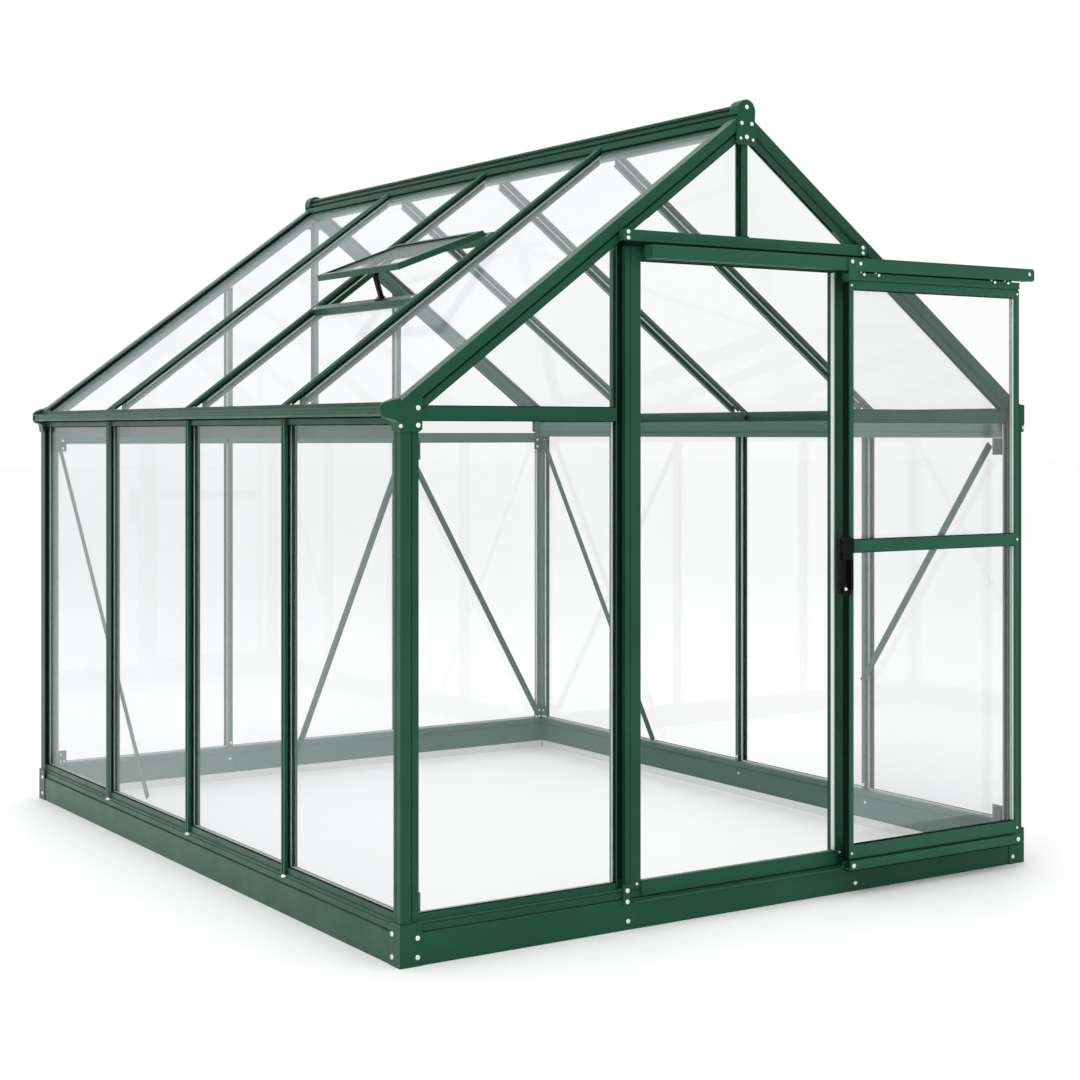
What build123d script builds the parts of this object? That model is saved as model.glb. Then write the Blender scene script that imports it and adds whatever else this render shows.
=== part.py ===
from build123d import *
import math
import os

# Glass greenhouse: dark green metal frame on a low plinth, gable front with a
# top-hung sliding door standing open, and a propped vent in the left roof slope.
# Millimetres, +Z up, front towards -Y.  The model is laid out with the front of
# the plinth at y = 0 and then moved so that the middle of its box is over the
# origin and the plinth stands on z = 0.

# ---------------------------------------------------------------- dimensions
W = 1930.0            # width over the plinth
L = 2366.0            # length over the plinth
BASE_H = 94.0         # plinth height
BASE_T = 30.0         # plinth thickness
SEAM_Z = 70.0         # groove between plinth face and upper band
PLATE_T = 2.0         # corner plate thickness
INSET = 4.0           # frame faces sit this far inside the corner plates

POST_W = 48.0         # corner post, seen from the front
POST_D = 32.0         # corner post, seen from the side
HEAD_W = 20.0         # glazing bar, outer flange width
HEAD_D = 14.0         # glazing bar, outer flange depth
BAR_D = 36.0          # glazing bar, whole depth
GLASS_T = 4.0         # glass thickness

SILL_TOP = 111.0      # top of the sill rail lip
EAVE_LOW = 1183.0     # lower edge of the eave beam, outside
EAVE_TOP = 1200.0     # top of the eave beam, underside of the gutter
EAVE_IN = 1150.0      # lower edge of the eave beam, inside
REAR_MID = 1130.0     # lower edge of the rear gable rail
GUTTER_OUT = 36.0     # gutter overhang past the posts
GUTTER_LIP = 1221.0   # top of the gutter's outer wall
ROOF_E = (-965.0, 1229.0)    # roof plane at the eave (x, z)
ROOF_R = (-18.0, 1935.0)     # roof plane at the ridge (x, z)
RAFTER_W = 48.0       # gable rafter, seen from the front
RIDGE_TOP = 1966.0
RIDGE_HALF = 27.0
RIDGE_LOW = 1898.0

MID_LOW, MID_TOP = 1191.0, 1222.0      # gable rail at eave height

DOOR_X0, DOOR_X1 = -316.0, 292.0       # clear doorway between the jambs
HEAD_LOW, HEAD_TOP = 1569.0, 1602.0    # rail over the doorway
SILL_LOW, SILL_HIGH = 76.0, 111.0      # rail under the doorway
HDR_LOW, HDR_TOP = 1612.0, 1639.0      # canopy rail over the doorway
HDR_X = 378.0
TRACK_X0, TRACK_X1 = -318.0, 951.0     # door track
TRACK_Y0, TRACK_Y1 = -46.0, -14.0
TRACK_Z0, TRACK_Z1 = 1571.0, 1603.0
LEAF_X0, LEAF_X1 = 298.0, 902.0        # door leaf, standing open
LEAF_Y0, LEAF_Y1 = -41.0, -19.0
LEAF_Z0, LEAF_Z1 = 96.0, 1544.0
STILE_W = 14.0
DOOR_TRAVEL = 612.0                    # leaf travel from open to closed

VENT_X_HI, VENT_X_LO = -366.0, -583.0  # vent opening in the left slope (x)
VENT_OPEN = 15.5                       # how far the vent stands open, degrees

BAR_Y = [L * 0.25, L * 0.5, L * 0.75]  # glazing bars of the long walls and roof
REAR_X = [-322.0, 322.0]               # glazing bars of the rear gable

# ---------------------------------------------------------------- derived
P = W / 2 - INSET                      # frame face of the long walls (x)
YF = INSET                             # frame face of the front gable (y)
YR = L - INSET                         # frame face of the rear gable (y)
PHI = math.atan2(ROOF_R[1] - ROOF_E[1], ROOF_R[0] - ROOF_E[0])
CP, SP = math.cos(PHI), math.sin(PHI)


def roof_z(x, off=0.0):
    """Height of the left roof plane at x, moved off mm along its normal."""
    return ROOF_E[1] + (x - ROOF_E[0]) * math.tan(PHI) + off / CP


# ---------------------------------------------------------------- helpers
def prism(pts, origin, x_dir, z_dir, length):
    """Closed polygon drawn in a plane, pulled length along the normal."""
    pl = Plane(origin=origin, x_dir=x_dir, z_dir=z_dir)
    w = Wire.make_polygon([Vector(a, b, 0) for a, b in pts], close=True)
    f = pl.from_local_coords(Face(w))
    return Solid.extrude(f, Vector(*z_dir).normalized() * length)


def zprism(pts, z0, z1):
    return prism(pts, (0, 0, z0), (1, 0, 0), (0, 0, 1), z1 - z0)


def yprism(pts, y0, y1):
    """Points are (x, z); runs along y."""
    return prism([(-a, b) for a, b in pts], (0, y0, 0), (-1, 0, 0), (0, 1, 0), y1 - y0)


def xprism(pts, x0, x1):
    """Points are (y, z); runs along x."""
    return prism(pts, (x0, 0, 0), (0, 1, 0), (1, 0, 0), x1 - x0)


def block(x0, x1, y0, y1, z0, z1):
    return zprism([(x0, y0), (x1, y0), (x1, y1), (x0, y1)], z0, z1)


def mx(s):
    return s.mirror(Plane.YZ)


def my(s):
    return s.mirror(Plane.XZ.offset(-L / 2))


def cut(s, *tools):
    r = s
    for t in tools:
        r = r - t
    return r


def solids(*items):
    out = []
    for i in items:
        if isinstance(i, (list, tuple, ShapeList)):
            out += solids(*i)
        else:
            out += list(i.solids())
    return out


NODES = {}


def node(name, *items):
    NODES[name] = solids(*items)


# half spaces used to trim members against the roof
BIG = 3000.0


def above_left(off, y0=-100.0, y1=L + 100.0):
    """Everything above the left roof plane moved off along its normal."""
    xa, xb = -1500.0, 400.0
    return yprism([(xa, roof_z(xa, off)), (xb, roof_z(xb, off)), (xb, BIG), (xa, BIG)], y0, y1)


def under_roof(s, off):
    """Trim a solid by both slopes, off mm along their normals."""
    a = above_left(off)
    return cut(s, a, mx(a))


# ---------------------------------------------------------------- plinth
# section: (outward distance from the frame face, z)
base_sec = [(2, 0), (2, SEAM_Z - 1), (1, SEAM_Z), (-9, SEAM_Z), (-9, SEAM_Z + 3), (-3, SEAM_Z + 3),
            (-3, SEAM_Z + 16), (-6, SEAM_Z + 17), (-6, BASE_H - 3), (-2, BASE_H - 2), (-2, BASE_H), (2 - BASE_T, BASE_H),
            (2 - BASE_T, BASE_H - 6), (4 - BASE_T, BASE_H - 8), (4 - BASE_T, 8), (2 - BASE_T, 6), (2 - BASE_T, 0)]
bf = xprism([(YF - u, z) for u, z in base_sec], -(P + 2), P + 2)
node("base_front", bf)
node("base_rear", my(bf))
bl = yprism([(-(P + u), z) for u, z in base_sec], YF - 2 + BASE_T, YR + 2 - BASE_T)
node("base_sides", bl, mx(bl))

# corner plates wrapped round the plinth corners
PF, PS = 56.0, 48.0
cx0 = W / 2
plate = zprism([(-cx0, 0), (-cx0 + PF, 0), (-cx0 + PF, PLATE_T), (-cx0 + PLATE_T, PLATE_T),
                (-cx0 + PLATE_T, PS), (-cx0, PS)], 0, BASE_H)
node("base_corner_plates", plate, mx(plate), my(plate), my(mx(plate)))

# ---------------------------------------------------------------- corner posts
ps = [(0, 1.5), (1.5, 0), (26, 0), (27, 1), (27, 18), (31, 18), (31, 5), (POST_W, 5), (POST_W, 22),
      (38, 22), (38, 26), (30, POST_D), (12, POST_D), (0, POST_D), (0, 22), (2, 22), (2, 19), (0, 19)]
post = zprism([(-P + a, YF + b) for a, b in ps], BASE_H, 1260)
post = under_roof(post, -RAFTER_W)
# the eave beam and gutter butt against the post's rear face
node("corner_posts", post, mx(post), my(post), my(mx(post)))

# ---------------------------------------------------------------- sill rails
sill_sec = [(-8, BASE_H), (-8, SILL_TOP - 1), (-9, SILL_TOP), (-HEAD_D, SILL_TOP), (-HEAD_D, 104), (-HEAD_D - GLASS_T - 1, 104),
            (-HEAD_D - GLASS_T - 1, 109), (-BAR_D, 109), (-BAR_D, BASE_H)]
JW = 68.0
sill_l = yprism([(-(P + u), z) for u, z in sill_sec], YF + POST_D, YR - POST_D)
sill_fl = xprism([(YF - u, z) for u, z in sill_sec], -P + POST_W, DOOR_X0 - JW)
sill_fr = xprism([(YF - u, z) for u, z in sill_sec], DOOR_X1 + JW, P - POST_W)
sill_r = my(xprism([(YF - u, z) for u, z in sill_sec], -P + POST_W, P - POST_W))
node("sill_rails", sill_l, mx(sill_l), sill_fl, sill_fr, sill_r)

# ---------------------------------------------------------------- glazing bars
# section: (along the wall, outward)
H2 = HEAD_W / 2
bar_sec = [(-H2, -HEAD_D), (-H2, -1), (-H2 + 1, 0), (-3, 0), (-3, -1.5), (3, -1.5), (3, 0), (H2 - 1, 0),
           (H2, -1), (H2, -HEAD_D), (1.5, -HEAD_D), (1.5, -BAR_D + 3), (7, -BAR_D + 3), (7, -BAR_D),
           (-7, -BAR_D), (-7, -BAR_D + 3), (-1.5, -BAR_D + 3), (-1.5, -HEAD_D)]
face_sec = [(-H2, -8), (-H2, -1), (-H2 + 1, 0), (-3, 0), (-3, -1.5), (3, -1.5), (3, 0), (H2 - 1, 0),
            (H2, -1), (H2, -8)]
tail_sec = [(1.5, -HEAD_D - 5), (1.5, -BAR_D + 3), (7, -BAR_D + 3), (7, -BAR_D),
            (-7, -BAR_D), (-7, -BAR_D + 3), (-1.5, -BAR_D + 3), (-1.5, -HEAD_D - 5)]


def wall_bar(yc):
    """Left wall bar: whole section between the rails, flange over their lips."""
    body = zprism([(-(P + u), yc + t) for t, u in bar_sec], SILL_TOP, EAVE_LOW)
    low = zprism([(-(P + u), yc + t) for t, u in face_sec], BASE_H, SILL_TOP)
    top = zprism([(-(P + u), yc + t) for t, u in face_sec], EAVE_LOW, EAVE_TOP)
    tail = zprism([(-(P + u), yc + t) for t, u in tail_sec], 109, SILL_TOP)
    tail2 = zprism([(-(P + u), yc + t) for t, u in tail_sec], EAVE_LOW, 1196)
    return body + low + top + tail + tail2


lb = [wall_bar(y) for y in BAR_Y]
node("left_wall_bars", lb)
node("right_wall_bars", [mx(b) for b in lb])

# ---------------------------------------------------------------- eave beams and gutters
eave_sec = [(-8, EAVE_LOW), (-8, EAVE_TOP), (-38, EAVE_TOP), (-44, 1188), (-44, 1168), (-42.5, 1167),
            (-42.5, 1165), (-44, 1164), (-44, EAVE_IN), (-41, EAVE_IN), (-41, 1186), (-36, 1197), (-HEAD_D, 1197),
            (-HEAD_D, EAVE_LOW)]
ev = yprism([(-(P + u), z) for u, z in eave_sec], YF + POST_D, YR - POST_D)
node("eave_beams", ev, mx(ev))
gut_sec = [(-36, EAVE_TOP), (24, EAVE_TOP), (30, 1201), (GUTTER_OUT - 2, 1204), (GUTTER_OUT - 2, 1207),
           (GUTTER_OUT - 4, 1208), (GUTTER_OUT - 4, 1216), (GUTTER_OUT, 1217), (GUTTER_OUT, GUTTER_LIP),
           (27, GUTTER_LIP), (27, GUTTER_LIP - 3), (29, GUTTER_LIP - 3), (29, 1208), (24, 1203), (9, 1203),
           (9, 1231), (6, 1231), (6, 1203), (-36, 1203)]
gut = yprism([(-(P + u), z) for u, z in gut_sec], YF + POST_D, YR - POST_D)
# past the posts only the trough outside the frame runs on to the end caps
gut = gut + block(-P - 10, -P - 3, YF + POST_D, YR - POST_D, EAVE_TOP, 1203)
node("gutters", gut, mx(gut))
# end caps: moulded block that closes the gutter, with a plate over the head of the post
cap_pts = [(-53, 1243), (-53, 1172), (-47, 1166), (2, 1166), (4, 1168), (6, 1186), (12, 1192), (GUTTER_OUT - 8, 1196),
           (GUTTER_OUT, 1203), (GUTTER_OUT, 1223), (30, 1229), (12, 1236), (4, 1247)]
cap = yprism([(-(P + u), z) for u, z in cap_pts], YF - 3, YF)
cap = under_roof(cap, 1.0)
cap_side = [(0.5, 1166), (2, 1166), (4, 1168), (6, 1186), (12, 1192), (GUTTER_OUT - 8, 1196), (GUTTER_OUT, 1203),
            (GUTTER_OUT, 1223), (30, 1229), (12, 1236), (0.5, 1240)]
side = yprism([(-(P + u), z) for u, z in cap_side], YF - 3, YF + POST_D)
side = side - zprism([(-P - 60, YF - 10), (-P - 7, YF - 10), (-P - 7, YF - 3), (-P - GUTTER_OUT, YF + 27), (-P - 60, YF + 27)],
                     1000, 1300)
cap = cap - zprism([(-P - 60, YF - 10), (-P - 7, YF - 10), (-P - 7, YF - 3), (-P - 10, YF + 0.1), (-P - 60, YF + 0.1)],
                   1000, 1300)
gcap = cut(cap + side, gut)
gcap = max(gcap.solids(), key=lambda q: q.volume)
node("gutter_end_caps", gcap, mx(gcap), my(gcap), my(mx(gcap)))

# ---------------------------------------------------------------- gable frames
G0, G1 = YF + HEAD_D, YF + HEAD_D + GLASS_T          # glass plane of the front gable
jamb_sec = [(0, 1), (1, 0), (30, 0), (30, 2.5), (31.5, 2.5), (31.5, 1.5), (44, 1.5), (44, 22), (60, 22),
            (60, 12), (64, 12), (64, 14), (JW, 14), (JW, POST_D), (0, POST_D)]
jl = under_roof(zprism([(DOOR_X0 - a, YF + b) for a, b in jamb_sec], BASE_H, 1622), -RAFTER_W)
jr = under_roof(zprism([(DOOR_X1 + a, YF + b) for a, b in jamb_sec], BASE_H, 1622), -RAFTER_W)
# foot plates that tie the jambs to the plinth
fp = [block(DOOR_X0 - 54, DOOR_X0 - 32, -1, 2, 60, 107) + block(DOOR_X0 - 54, DOOR_X0 - 32, 2, YF + 1.5, 71, 107)]
node("door_jambs", jl, jr, fp)

head_sec = [(YF + 1, HEAD_LOW), (YF + 1, HEAD_LOW + 5), (YF + 2.5, HEAD_LOW + 6), (YF + 2.5, HEAD_LOW + 8),
            (YF + 1, HEAD_LOW + 9), (YF + 1, HEAD_TOP), (G0, HEAD_TOP), (G0, HEAD_TOP - 8), (G1 + 1, HEAD_TOP - 8),
            (G1 + 1, HEAD_TOP - 2), (YF + 30, HEAD_TOP - 2), (YF + 30, HEAD_LOW)]
node("door_head_rail", xprism(head_sec, DOOR_X0, DOOR_X1))
dsill_sec = [(1.5, SILL_LOW), (6, SILL_LOW), (6, BASE_H), (32, BASE_H), (32, 106), (12, SILL_HIGH), (1.5, SILL_HIGH)]
node("door_sill_rail", xprism(dsill_sec, DOOR_X0, DOOR_X1))

# soft strips down the doorway edges of the jambs
node("door_jamb_seals", block(DOOR_X1 - 4, DOOR_X1, YF + 8, YF + 20, SILL_HIGH, HEAD_LOW),
     block(DOOR_X0, DOOR_X0 + 2.4, YF + 14, YF + 22, SILL_HIGH, HEAD_LOW))

# canopy rail across the gable, in front of jambs and rafters
hdr_sec = [(-14, HDR_LOW), (-14, HDR_LOW + 3), (-12.5, HDR_LOW + 4), (-12.5, HDR_TOP - 2), (-11, HDR_TOP),
           (YF, HDR_TOP), (YF, HDR_LOW)]
hdr = xprism(hdr_sec, -HDR_X, HDR_X)
hdr = hdr + block(-HDR_X, -HDR_X + 24, -15, -12, HDR_LOW, HDR_TOP) + block(HDR_X - 24, HDR_X, -15, -12, HDR_LOW, HDR_TOP)
node("gable_header", hdr)

# gable rails at eave height: H section holding glass above and below
mid_sec = [(YF + 4, MID_LOW), (YF + 4, MID_TOP), (G0, MID_TOP), (G0, 1208), (G1, 1208), (G1, MID_TOP),
           (YF + 28, MID_TOP), (YF + 28, MID_LOW), (G1, MID_LOW), (G1, 1205), (G0, 1205), (G0, MID_LOW)]
rmid_sec = [(y, z - MID_LOW + REAR_MID) for y, z in mid_sec]
ml = under_roof(xprism(mid_sec, -P + POST_W, DOOR_X0 - JW), -RAFTER_W)
mr = under_roof(xprism(mid_sec, DOOR_X1 + JW, P - POST_W), -RAFTER_W)
rear_mid = [(-P + POST_W, REAR_X[0] - H2), (REAR_X[0] + H2, REAR_X[1] - H2), (REAR_X[1] + H2, P - POST_W)]
rm = [my(under_roof(xprism(rmid_sec, a, b), -RAFTER_W)) for a, b in rear_mid]
node("gable_mid_rails", ml, mr, rm)

# king posts
kp_sec = [(-8.5, -12), (-8.5, -1), (-7.5, 0), (7.5, 0),
          (8.5, -1), (8.5, -12), (1.5, -12), (1.5, -27), (7, -27), (7, -30), (-7, -30), (-7, -27),
          (-1.5, -27), (-1.5, -12)]
kf = zprism([(t, YF + 2 - u) for t, u in kp_sec], HEAD_TOP, 1900)
kf = under_roof(kf, -RAFTER_W - 0.5)
kr = my(zprism([(t, YF + 2 - u) for t, u in kp_sec], REAR_MID + MID_TOP - MID_LOW, 1900))
kr = under_roof(kr, -RAFTER_W - 0.5)
node("king_posts", kf, kr)


def rear_bar(xc):
    body = zprism([(xc + t, YF - u) for t, u in bar_sec], SILL_TOP, 1900)
    low = zprism([(xc + t, YF - u) for t, u in face_sec], BASE_H, SILL_TOP)
    tail = zprism([(xc + t, YF - u) for t, u in tail_sec], 109, SILL_TOP)
    return my(under_roof(body + low + tail, -RAFTER_W))


node("rear_wall_bars", [rear_bar(x) for x in REAR_X])

# ---------------------------------------------------------------- rafters and roof bars
# left rafter section: (into the building from the gable face, along the roof normal)
raf_sec = [(0, -1.5), (0, -24), (1, -25), (13, -25), (13, -31), (7, -31), (6, -32), (6, -RAFTER_W), (22, -RAFTER_W),
           (22, -40), (26, -36), (POST_D, -30), (POST_D, 0), (1.5, 0)]
s_dir = (CP, 0, SP)


def left_member(sec, yc, x_low, x_high):
    """Member along the left slope between two vertical planes at x_low and x_high."""
    x0 = x_low - 80.0
    length = (x_high - x_low + 160.0) / CP
    m = prism([(a, b) for a, b in sec], (x0, yc, roof_z(x0)), (0, 1, 0), s_dir, length)
    m = m - block(x_low - 400, x_low, -300, L + 300, 500, 2600) - block(x_high, x_high + 400, -300, L + 300, 500, 2600)
    return m


fl = left_member(raf_sec, YF, -P, 0)
node("front_rafters", fl, mx(fl))
node("rear_rafters", my(fl), my(mx(fl)))


def roof_bar(yc):
    body = left_member(bar_sec, yc, -P + 46, -RIDGE_HALF)
    face = left_member([(t, max(u, -HEAD_D)) for t, u in face_sec], yc, -P - 5, -P + 46)
    return body + face


rb = [roof_bar(y) for y in BAR_Y]
node("left_roof_bars", rb)
node("right_roof_bars", [mx(b) for b in rb])

# ridge: stepped beam, its sides carry the upper ends of the bars
rz = RIDGE_TOP
ridge_half = [(0, rz), (11, rz), (17, rz - 3), (17, rz - 8), (8, rz - 9), (8, rz - 15), (21, rz - 16),
              (21, rz - 23), (11, rz - 24), (11, rz - 30), (RIDGE_HALF, rz - 31), (RIDGE_HALF, RIDGE_LOW + 6),
              (RIDGE_HALF - 4, RIDGE_LOW), (0, RIDGE_LOW)]
ridge_pts = ridge_half + [(-a, b) for a, b in reversed(ridge_half[1:-1])]
ridge = yprism(ridge_pts, YF + POST_D, YR - POST_D)
# over the rafters only the cap of the ridge runs through to the end plates
ridge_cap = yprism(ridge_pts, YF, YR)
low_l = yprism([(-400, roof_z(-400, 0.0)), (0, roof_z(0, 0.0)), (0, 1000), (-400, 1000)], -100, L + 100)
ridge_cap = cut(ridge_cap, low_l, mx(low_l))
node("ridge_beam", ridge + ridge_cap)
rp_pts = [(-29, 1866), (29, 1866), (31, 1872), (29, 1900), (26, 1925), (26, 1948), (24, 1958), (18, 1967), (10, 1973), (0, 1975),
          (-10, 1973), (-18, 1967), (-24, 1958), (-26, 1948), (-26, 1925), (-29, 1900), (-31, 1872)]
rp = yprism(rp_pts, YF - 4, YF)
hood = yprism([(-27, 1940), (27, 1940), (27, 1950), (25, 1959), (19, 1969), (10, 1975), (0, 1977), (-10, 1975), (-19, 1969),
               (-25, 1959), (-27, 1950)], YF - 4, YF + POST_D - 2)
hood = cut(hood, ridge_cap, low_l, mx(low_l))
rp = rp + hood
rp = max(rp.solids(), key=lambda q: q.volume)
rp = cut(rp, ridge_cap)
rp = max(rp.solids(), key=lambda q: q.volume)
node("ridge_end_plates", rp, my(rp))

# ---------------------------------------------------------------- glass
u0, u1 = -HEAD_D, -HEAD_D - GLASS_T
GAP = 2.0


def side_pane(y0, y1):
    return block(-(P + u0), -(P + u1), y0, y1, 104, 1190)


ys = [YF + POST_D] + BAR_Y + [YR - POST_D]
lw = []
for i in range(4):
    a = ys[i] + (0 if i == 0 else 1.5 + GAP)
    b = ys[i + 1] - (0 if i == 3 else 1.5 + GAP)
    lw.append(side_pane(a, b))
node("left_wall_glass", lw)
node("right_wall_glass", [mx(g) for g in lw])


def gable_pane(xa, xb, za, zb=2600.0):
    """Pane of the front gable, its top trimmed by the rafters."""
    return under_roof(block(xa, xb, G0, G1, za, zb), -RAFTER_W)


fg = [gable_pane(-P + POST_W, DOOR_X0 - JW, 104, 1204), gable_pane(DOOR_X1 + JW, P - POST_W, 104, 1204),
      gable_pane(-P + POST_W, DOOR_X0 - JW, 1209), gable_pane(DOOR_X1 + JW, P - POST_W, 1209)]
fg += [cut(gable_pane(-345, -1.5 - GAP, HEAD_TOP - 7), jl), cut(gable_pane(1.5 + GAP, 345, HEAD_TOP - 7), jr)]
node("front_glass", fg)
rx = [-P + POST_W, REAR_X[0], REAR_X[1], P - POST_W]
rg = []
for i in range(3):
    a = rx[i] + (0 if i == 0 else 1.5 + GAP)
    b = rx[i + 1] - (0 if i == 2 else 1.5 + GAP)
    rg.append(my(gable_pane(a, b, 104, REAR_MID + 13)))
    if i != 1:
        rg.append(my(gable_pane(a, b, REAR_MID + 18)))
rg.append(my(gable_pane(REAR_X[0] + 1.5 + GAP, -1.5 - GAP, REAR_MID + 18)))
rg.append(my(gable_pane(1.5 + GAP, REAR_X[1] - 1.5 - GAP, REAR_MID + 18)))
node("rear_glass", rg)


def slope_pane(y0, y1, x_low, x_high):
    """Sheet in the left slope between two x positions."""
    pts = [(x_low, roof_z(x_low, u0)), (x_high, roof_z(x_high, u0)), (x_high, roof_z(x_high, u1)),
           (x_low, roof_z(x_low, u1))]
    return yprism(pts, y0, y1)


XE, XR = -P - 5.5, -RIDGE_HALF
lr, rr = [], []
for i in range(4):
    a = ys[i] + (0 if i == 0 else 1.5 + GAP)
    b = ys[i + 1] - (0 if i == 3 else 1.5 + GAP)
    rr.append(mx(slope_pane(a, b, XE, XR)))
    if i == 1:
        lr.append(slope_pane(a, b, XE, VENT_X_LO - 12))
        lr.append(slope_pane(a, b, VENT_X_HI + 12, XR))
        VY0, VY1 = a, b
    else:
        lr.append(slope_pane(a, b, XE, XR))
node("left_roof_glass", lr)
node("right_roof_glass", rr)

# ---------------------------------------------------------------- roof vent
# trimmer rails across the bay, above and below the vent opening


def slope_rail(sec, xs, y0, y1):
    """Rail across the left slope; section is (up the slope from xs, along the normal)."""
    pts = []
    for a, b in sec:
        pts.append((xs + a * CP - b * SP, roof_z(xs) + a * SP + b * CP))
    return yprism(pts, y0, y1)


RY0, RY1 = BAR_Y[0] + H2, BAR_Y[1] - H2
low_rail = slope_rail([(-16, 0), (4, 0), (6, -2), (6, -8), (3, -9), (3, -12), (6, -13), (6, -24), (-14.5, -24), (-14.5, -HEAD_D), (-16, -HEAD_D)],
                      VENT_X_LO, RY0, RY1)
low_rail = low_rail - slope_pane(0, L, XE, VENT_X_LO - 12)
top_rail = slope_rail([(-6, 2), (16, 2), (16, -HEAD_D), (14, -HEAD_D), (14, -24), (-6, -24)], VENT_X_HI, RY0, RY1)
top_rail = top_rail - slope_pane(0, L, VENT_X_HI + 12, XR)
node("roof_vent_rails", low_rail, top_rail)

# vent sash, hinged at its upper edge and propped open
HX, HZ = VENT_X_HI - 6.5 * CP, roof_z(VENT_X_HI) - 6.5 * SP
ang = PHI - math.radians(VENT_OPEN)
ca, sa = math.cos(ang), math.sin(ang)
VLEN = 277.0


def sash_pts(sec):
    """(down the sash from the hinge, along the sash normal) to (x, z)."""
    return [(HX - a * ca - b * sa, HZ - a * sa + b * ca) for a, b in sec]


FW, FT = 16.0, 16.0
sy0, sy1 = 606.0, 1058.0
def sash_box(a0, a1, b0, b1, y0, y1):
    return yprism(sash_pts([(a0, b0), (a1, b0), (a1, b1), (a0, b1)]), y0, y1)
frame_out = sash_box(4, VLEN, 4, 4 + FT, sy0, sy1)
hole = sash_box(4 + FW, VLEN - FW, -20, 40, sy0 + FW, sy1 - FW)
rebate = sash_box(4 + FW - 8, VLEN - FW + 8, 12, 16, sy0 + FW - 8, sy1 - FW + 8)
hinge_lip = sash_box(-2, 4, 6, 10, sy0, sy1)
node("roof_vent_frame", cut(frame_out + hinge_lip, hole, rebate))
node("roof_vent_glass", sash_box(4 + FW - 8, VLEN - FW + 8, 12, 16, sy0 + FW - 8, sy1 - FW + 8))

# prop from the lower trimmer to the sash
ex0, ey0, ez0 = VENT_X_LO + 4.0, 795.0, roof_z(VENT_X_LO + 4.0) - 1.0
q0 = sash_pts([(VLEN - 10, 4)])[0]
ex1, ey1, ez1 = q0[0], 757.0, q0[1] + 3.0
sd = Vector(ex1 - ex0, ey1 - ey0, ez1 - ez0)
stay = prism([(-6, -5), (6, -5), (6, 5), (-6, 5)], (ex0, ey0, ez0), (0, 1, 0), tuple(sd), sd.length)
sole = slope_rail([(-12, 0), (2, 0), (2, 4), (-12, 4)], VENT_X_LO + 4, ey0 - 18, ey0 + 18)
knee = yprism(sash_pts([(VLEN - 18, -6), (VLEN - 3, -6), (VLEN - 3, 4), (VLEN - 18, 4)]), ey1 - 9, ey1 + 9)
stay = cut(stay + sole + knee, low_rail, sash_box(0, VLEN, 4, 40, sy0, sy1))
node("roof_vent_stay", max(stay.solids(), key=lambda s: s.volume))

# ---------------------------------------------------------------- inner brackets and braces
# angle plates in the corners: low ones at the sill, high ones under the eave
def angle(z0, z1, leg=34.0):
    xo, y0, y1 = -(P - BAR_D), YF + POST_D, YF + BAR_D
    pts = [(-P + 20, y0), (-P + 47, y0), (-P + 47, y1), (xo + leg, y1), (xo + leg, y1 + 3), (xo + 3, y1 + 3),
           (xo + 3, y1 + leg), (xo, y1 + leg), (xo, y1 + 3), (-P + 20, y1 + 3)]
    return zprism(pts, z0, z1)


ib = angle(97, 150) - block(-P, -P + BAR_D, 0, L, 0, 109.5)
ib = max(ib.solids(), key=lambda q: q.volume)
it = angle(1104, 1149)
node("inner_corner_brackets", ib, mx(ib), my(ib), my(mx(ib)), it, mx(it), my(it), my(mx(it)))


def flat_bar_yz(xa, xb, ya, za, yb, zb, w=15.0):
    """Flat bar in a plane parallel to the long walls."""
    d = math.hypot(yb - ya, zb - za)
    ny, nz_ = -(zb - za) / d * w / 2, (yb - ya) / d * w / 2
    return xprism([(ya + ny, za + nz_), (ya - ny, za - nz_), (yb - ny, zb - nz_), (yb + ny, zb + nz_)], xa, xb)


def flat_bar_xz(ya, yb, xa, za, xb, zb, w=15.0):
    d = math.hypot(xb - xa, zb - za)
    nx_, nz_ = -(zb - za) / d * w / 2, (xb - xa) / d * w / 2
    return yprism([(xa + nx_, za + nz_), (xa - nx_, za - nz_), (xb - nx_, zb - nz_), (xb + nx_, zb + nz_)], ya, yb)


BX0, BX1 = -(P - BAR_D - 3.2), -(P - BAR_D - 6.2)
BW = 21.0
b1 = flat_bar_yz(BX0, BX1, YF + POST_D + 22, 1132, BAR_Y[0] - 2, 395, BW)
b2 = flat_bar_yz(BX0, BX1, YR - POST_D - 18, 1132, 1562, 122, BW)
b3 = mx(flat_bar_yz(BX0, BX1, YR - POST_D - 22, 1132, 1628, 118, BW))
b4 = mx(flat_bar_yz(BX0, BX1, YF + POST_D + 46, 1132, BAR_Y[0] - 2, 430, BW))
YB0, YB1 = YR - BAR_D - 6.2, YR - BAR_D - 3.2
b5 = flat_bar_xz(YB0, YB1, REAR_X[1] + 4, 1150, P - 62, 134, BW)
node("wall_braces", b1, b2, b3, b4, b5)

# ---------------------------------------------------------------- door track and guide
ty0, ty1, tz0, tz1 = TRACK_Y0, TRACK_Y1, TRACK_Z0, TRACK_Z1
tw = 2.5
SLOT0, SLOT1 = -37.0, -23.0
track_sec = [(ty0, tz0), (SLOT0, tz0), (SLOT0, tz0 + tw), (ty0 + tw, tz0 + tw), (ty0 + tw, tz1 - tw),
             (ty1 - tw, tz1 - tw), (ty1 - tw, tz0 + tw), (SLOT1, tz0 + tw), (SLOT1, tz0), (ty1, tz0),
             (ty1, tz1), (ty0, tz1)]
track = xprism(track_sec, TRACK_X0, TRACK_X1)
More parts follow.
